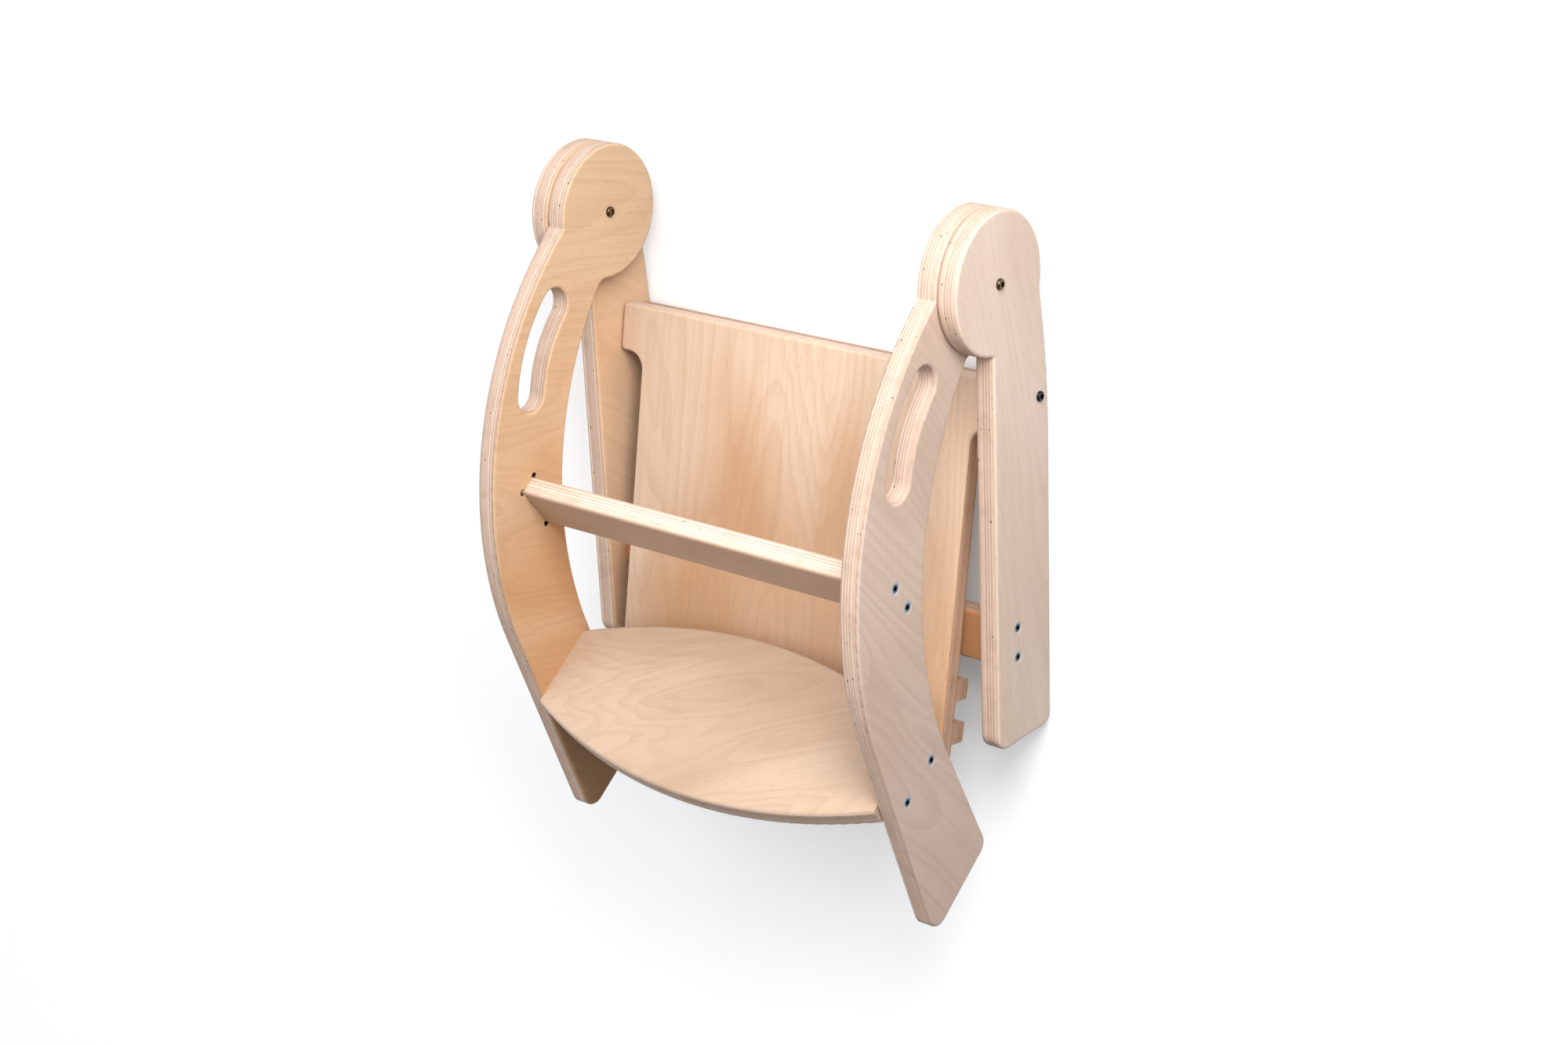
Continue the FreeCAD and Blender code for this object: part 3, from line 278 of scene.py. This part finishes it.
def metal(name, colour, roughness, scratch_scale, worn=0.25, head_node=None):
    """Plated or blackened steel or brass: fine scratches and slightly uneven colour.

    head_node names a node of screws along X, whose heads get painted shade inside a rim kept bright
    as a painted highlight, and deeper painted shade down in the socket."""
    g = Graph(name)
    place = g.object_place()
    blotch = g.noise(g.stretch(place, (500.0, 500.0, 500.0)), detail=3.0)
    scratch = g.noise(g.stretch(place, (scratch_scale, scratch_scale * 0.15, scratch_scale)),
                      detail=4.0, roughness=0.7)
    share = g.math("MULTIPLY", g.span(blotch, 0.4, 0.7), worn)
    tint = g.mix(share, colour, shaded(colour, 0.55))
    if head_node:
        face = max(abs(corner[0]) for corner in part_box(head_node))
        sunk = g.math("SUBTRACT", face, g.math("ABSOLUTE", g.dot(place, ACROSS)))
        first, second = (g.distance_to_axis(place, *axis) for axis in head_axes(head_node))
        painted_rim_highlight = g.span(g.math("MINIMUM", first, second), RIM_START, RIM_FULL)
        # painted shade inside each head with a painted highlight left on its rim, then painted shade
        # deep in the socket
        tint = g.mix(painted_rim_highlight, shaded(colour, 0.30), tint)
        tint = g.mix(g.span(sunk, SOCKET_START, SOCKET_FULL), tint, shaded(colour, 0.05))
    g.feed(g.shader.inputs["Base Color"], tint)
    g.shader.inputs["Metallic"].default_value = 1.0
    uneven = g.span(scratch, 0.3, 0.75, roughness - 0.06, roughness + 0.10)
    g.feed(g.shader.inputs["Roughness"], uneven)
    g.bump(scratch, 0.12, 0.00008)
    return g.material


def plastic(name, colour, roughness):
    """A moulded nylon washer with a faint mottle."""
    g = Graph(name)
    place = g.object_place()
    mottle = g.noise(g.stretch(place, (900.0, 900.0, 900.0)), detail=3.0)
    g.feed(g.shader.inputs["Base Color"],
           g.mix(g.span(mottle, 0.35, 0.7), colour, shaded(colour, 0.88)))
    uneven = g.span(mottle, 0.3, 0.7, roughness - 0.05, roughness + 0.08)
    g.feed(g.shader.inputs["Roughness"], uneven)
    g.bump(mottle, 0.08, 0.0001)
    return g.material


def finish(node_name, material):
    slots = nodes[node_name].data.materials
    slots.clear()
    slots.append(material)


# ---------------------------------------------------------------- the object's finishes

# how far the sheets of the rocker frame and of the seat lie turned about X from level or upright
ROCKER_TURN = math.radians(-54.7)
SEAT_TURN = math.radians(-11.0)


def turned(y, z, angle):
    """A direction in the sheet's own side plane, turned about X into the row frame."""
    return (0.0, y * math.cos(angle) - z * math.sin(angle), y * math.sin(angle) + z * math.cos(angle))


# each tone is a face veneer's lighter and deeper colour
WHITE = (linear(221, 201, 186), linear(210, 186, 168))
PALE = (linear(209, 186, 171), linear(198, 172, 155))
CREAM = (linear(195, 165, 142), linear(186, 152, 127))
TAN = (linear(213, 181, 149), linear(194, 148, 105))
SHADED = (linear(219, 186, 155), linear(205, 166, 130))
HONEY = (linear(212, 186, 163), linear(193, 151, 115))
BRIGHT = (linear(195, 171, 150), linear(176, 146, 120))
# the next tone holds painted shade: the rear stretcher, in shade behind the seat, made deeper and
# warmer
PAINTED_SHADE_AMBER = (linear(192, 141, 100), linear(182, 128, 86))

# what a sheet's cut plies are multiplied by
PLAIN_CUT = (0.89, 0.87, 0.87, 1.0)
# the next, paler factor is painted light: it brightens cut plies past their own colour, as on the
# slat's lit top edge and the seat panel's far edge
PAINTED_LIGHT_CUT = (1.17, 1.17, 1.19, 1.0)
WARM_CUT = (0.80, 0.68, 0.59, 1.0)

# how many growth rings the veneer's field spans
RINGS, CLOSE_RINGS = 19, 27

SLAT_NORMAL = turned(1, 0, ROCKER_TURN)
BOARD_NORMAL = turned(0, 1, ROCKER_TURN)
SEAT_NORMAL = turned(0, 1, SEAT_TURN)
BOARD_GRAIN = Vector(ACROSS) * 0.88 + Vector(SLAT_NORMAL) * 0.47

# node, sheet normal, grain of the face veneer, tone, figure, rings, cut, painted_shade_lean (painted
# shade towards the low-Y end)
# (the seat panel's far edge is paler than its other cuts: a painted highlight)
PLY_NODES = (
    ("rear_leg_right", ACROSS, (0, 0.97, 0.24), WHITE, 0.6, RINGS, PLAIN_CUT, 0.0),
    ("rear_leg_left", ACROSS, (0, 0.55, 0.84), SHADED, 0.8, RINGS, PLAIN_CUT, 0.0),
    ("rocker_leg_right", ACROSS, (0, 0.75, 0.66), PALE, 1.4, RINGS, PLAIN_CUT, 0.0),
    ("rocker_leg_left", ACROSS, (0, 0.20, 0.98), TAN, 0.8, RINGS, PLAIN_CUT, 0.22),
    ("rear_stretcher", (0, 0, 1), ACROSS, PAINTED_SHADE_AMBER, 0.6, RINGS, WARM_CUT, 0.0),
    ("slat", SLAT_NORMAL, ACROSS, CREAM, 0.6, RINGS, PAINTED_LIGHT_CUT, 0.0),
    ("platform", BOARD_NORMAL, BOARD_GRAIN, BRIGHT, 0.9, CLOSE_RINGS, PLAIN_CUT, 0.0),
    ("seat_panel", SEAT_NORMAL, turned(1, 0, SEAT_TURN), HONEY, 0.9, RINGS, WARM_CUT, 0.22),
    ("hinge_rail", SEAT_NORMAL, ACROSS, HONEY, 0.5, RINGS, WARM_CUT, 0.0),
    ("rear_cleat", SEAT_NORMAL, ACROSS, HONEY, 0.5, RINGS, WARM_CUT, 0.0),
    ("front_cleat", SEAT_NORMAL, ACROSS, HONEY, 0.5, RINGS, WARM_CUT, 0.0),
)
for seed, (name, normal, grain, *look) in enumerate(PLY_NODES, start=1):
    tone, figure, rings, cut, painted_shade_lean = look
    # the seat panel's far edge gets the paler tint as a painted highlight
    painted_highlight_back_cut = PAINTED_LIGHT_CUT if name == "seat_panel" else cut
    finish(name, plywood(f"ply_{name}", normal, grain, name, tone, float(seed), figure, rings,
                         cut, painted_shade_lean, painted_highlight_back_cut))

ZINC = (0.30, 0.36, 0.42, 1.0)
BRASS = (0.11, 0.075, 0.038, 1.0)
BLACKENED = (0.028, 0.028, 0.034, 1.0)
NYLON = (0.62, 0.60, 0.55, 1.0)
SCREW_LOOK = (0.26, 4000.0)  # roughness and scratch scale
BOLT_LOOK = (0.11, 3500.0)

zinc = metal("zinc_plated_steel", ZINC, *SCREW_LOOK)
brass = metal("antique_brass", BRASS, *BOLT_LOOK, worn=0.45)
dark = metal("blackened_steel", BLACKENED, *BOLT_LOOK)
nylon = plastic("nylon", NYLON, 0.5)
for name in nodes:
    if name in ("stretcher_screws", "slat_screws", "platform_screws"):
        finish(name, metal(f"zinc_{name}", ZINC, *SCREW_LOOK, head_node=name))
    elif name.endswith("_screws"):
        finish(name, zinc)
    elif "washer" in name:
        finish(name, nylon)
    elif name.startswith("seat_bolt"):
        finish(name, dark)
    elif name.startswith(("head_bolt", "head_sleeve", "seat_insert")):
        finish(name, brass)

# ---------------------------------------------------------------- floor and light

FLOOR_REACH = 9.0
FLOOR_GLOW = 0.14
PAPER_COOL, PAPER_WARM = (0.93, 0.935, 0.945, 1.0), (0.95, 0.955, 0.96, 1.0)
PAPER_GLOW = (0.97, 0.985, 1.0, 1.0)
SKY_COLOUR = (0.985, 0.99, 1.0, 1.0)
SKY_LOW, SKY_HIGH = 0.07, 1.48
SKY_START, SKY_FULL = -0.35, 1.0
BRIGHT_SIDE = Vector((-0.35, 0.75, 0.56)).normalized()
LAMP_TARGET = (0.05, 0.1, 0.1)

floor_mesh = bpy.data.meshes.new("floor")
corners = [(-FLOOR_REACH, -FLOOR_REACH, 0), (FLOOR_REACH, -FLOOR_REACH, 0),
           (FLOOR_REACH, FLOOR_REACH, 0), (-FLOOR_REACH, FLOOR_REACH, 0)]
floor_mesh.from_pydata(corners, [], [(0, 1, 2, 3)])
floor = bpy.data.objects.new("floor", floor_mesh)
bpy.context.scene.collection.objects.link(floor)
paper = Graph("paper")
tooth = paper.noise(paper.stretch(paper.object_place(), (60.0, 60.0, 60.0)), detail=2.0)
paper.feed(paper.shader.inputs["Base Color"], paper.mix(tooth, PAPER_COOL, PAPER_WARM))
paper.shader.inputs["Roughness"].default_value = 0.9
paper.shader.inputs["Specular IOR Level"].default_value = 0.1
paper.shader.inputs["Emission Color"].default_value = PAPER_GLOW
paper.shader.inputs["Emission Strength"].default_value = FLOOR_GLOW
floor_mesh.materials.append(paper.material)
# the floor sends no light back up, so that the object's shaded faces stay deep
floor.visible_diffuse = False

# a sky that brightens towards one side
world = bpy.data.worlds.new("studio")
world.use_nodes = True
sky = world.node_tree
background = sky.nodes["Background"]
background.inputs["Color"].default_value = SKY_COLOUR
direction = sky.nodes.new("ShaderNodeTexCoord").outputs["Generated"]
facing = sky.nodes.new("ShaderNodeVectorMath")
facing.operation = "DOT_PRODUCT"
facing.inputs[1].default_value = BRIGHT_SIDE
sky.links.new(direction, facing.inputs[0])
glow = sky.nodes.new("ShaderNodeMapRange")
glow.interpolation_type = "SMOOTHSTEP"
for socket, number in zip(glow.inputs[1:5], (SKY_START, SKY_FULL, SKY_LOW, SKY_HIGH)):
    socket.default_value = number
sky.links.new(facing.outputs["Value"], glow.inputs[0])
sky.links.new(glow.outputs[0], background.inputs["Strength"])
bpy.context.scene.world = world
bpy.context.scene.view_settings.view_transform = "Standard"


def softbox(name, place, side, power, colour):
    """A square lamp, side metres wide, that faces the object and isn't itself in the picture."""
    data = bpy.data.lights.new(name, "AREA")
    data.shape = "SQUARE"
    data.size = side
    data.energy = power
    data.color = colour
    lamp = bpy.data.objects.new(name, data)
    bpy.context.scene.collection.objects.link(lamp)
    lamp.location = place
    lamp.visible_camera = False
    aim = Vector(LAMP_TARGET) - Vector(place)
    lamp.rotation_euler = aim.to_track_quat("-Z", "Y").to_euler()


softbox("key", (0.70, 0.92, 0.72), 0.6, 14.5, (1.0, 0.985, 0.97))
softbox("fill", (1.35, 0.75, 0.75), 1.0, 9.0, (1.0, 0.99, 0.985))

bpy.context.view_layer.update()
